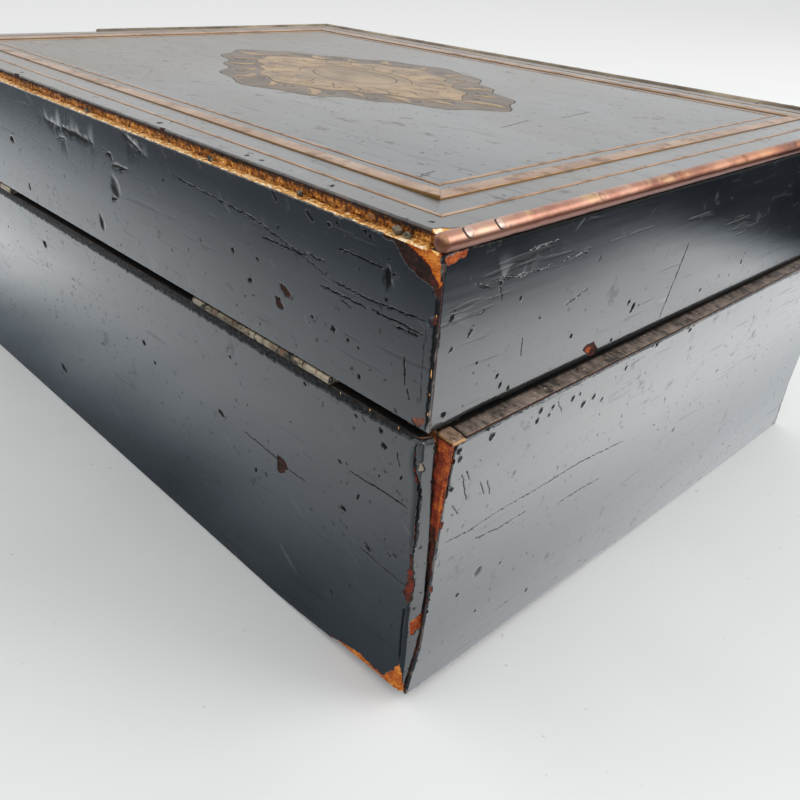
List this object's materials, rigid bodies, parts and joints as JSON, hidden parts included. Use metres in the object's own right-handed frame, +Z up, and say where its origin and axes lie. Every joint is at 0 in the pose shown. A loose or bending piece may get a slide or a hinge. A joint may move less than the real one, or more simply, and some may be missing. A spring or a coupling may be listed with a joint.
{
  "type": "antique box",
  "caption": "Rectangular ebonised wooden box with a deep hinged lid, inlaid brass lines and ornament on the top, a brass edge bead, butt hinges and a box lock",
  "frame": {"origin": "under the middle of the base, on the surface that the box stands on", "axes": "+Z up, -Y the front with the lock, +Y the back with the hinges, X along the length"},
  "size_m": [0.3049, 0.221, 0.1233],
  "materials": {
    "black_veneer": "ebonised veneer, french polished, with fine cracks and worn edges",
    "pine": "bare softwood boards, oiled by age",
    "brass": "tarnished brass, coppery",
    "hinge_brass": "pale tarnished brass",
    "steel": "dull steel",
    "tan_wood": "polished tan veneer",
    "lining": "wine-red velvet on card"
  },
  "bodies": {
    "base": {"base_back_veneer": "black_veneer", "base_back_wall": "pine", "base_bottom": "pine", "base_front_veneer": "black_veneer", "base_front_wall": "pine", "base_left_veneer": "black_veneer", "base_left_wall": "pine", "base_lining": "lining", "base_right_veneer": "black_veneer", "base_right_wall": "pine", "escutcheon": "brass", "hinge_left_base_leaf": "hinge_brass", "hinge_left_base_screw_1": "hinge_brass", "hinge_left_base_screw_2": "hinge_brass", "hinge_left_pin": "steel", "hinge_right_base_leaf": "hinge_brass", "hinge_right_base_screw_1": "hinge_brass", "hinge_right_base_screw_2": "hinge_brass", "hinge_right_pin": "steel", "lock_case": "brass", "lock_screw_1": "brass", "lock_screw_2": "brass"},
    "lid": {"bead_front": "brass", "bead_left": "brass", "bead_right": "brass", "brass_strip_back": "brass", "brass_strip_front": "brass", "brass_strip_left": "brass", "brass_strip_right": "brass", "hinge_left_lid_leaf": "hinge_brass", "hinge_left_lid_screw_1": "hinge_brass", "hinge_left_lid_screw_2": "hinge_brass", "hinge_right_lid_leaf": "hinge_brass", "hinge_right_lid_screw_1": "hinge_brass", "hinge_right_lid_screw_2": "hinge_brass", "inner_line": "brass", "lid_back_veneer": "black_veneer", "lid_back_wall": "pine", "lid_front_veneer": "black_veneer", "lid_front_wall": "pine", "lid_left_veneer": "black_veneer", "lid_left_wall": "pine", "lid_lining": "lining", "lid_right_veneer": "black_veneer", "lid_right_wall": "pine", "lid_top_board": "pine", "link_plate": "brass", "ornament_ground": "tan_wood", "ornament_oval": "tan_wood", "ornament_ring": "brass", "outer_line_back": "brass", "outer_line_front": "brass", "outer_line_left": "brass", "outer_line_right": "brass", "top_center_panel": "black_veneer", "top_inner_band": "black_veneer", "top_middle_band": "black_veneer", "top_outer_band": "black_veneer"},
    "bolt": {"lock_bolt": "steel"}
  },
  "joints": [
    {"name": "lid_hinge", "type": "hinge", "parent": "base", "child": "lid", "pos_m": [0, 0.1088, 0.08025], "axis": [-1, 0, 0], "range_deg": [0, 108]},
    {"name": "bolt_slide", "type": "slide", "parent": "base", "child": "bolt", "axis": [1, 0, 0], "range_m": [0, 0.004]}
  ]
}
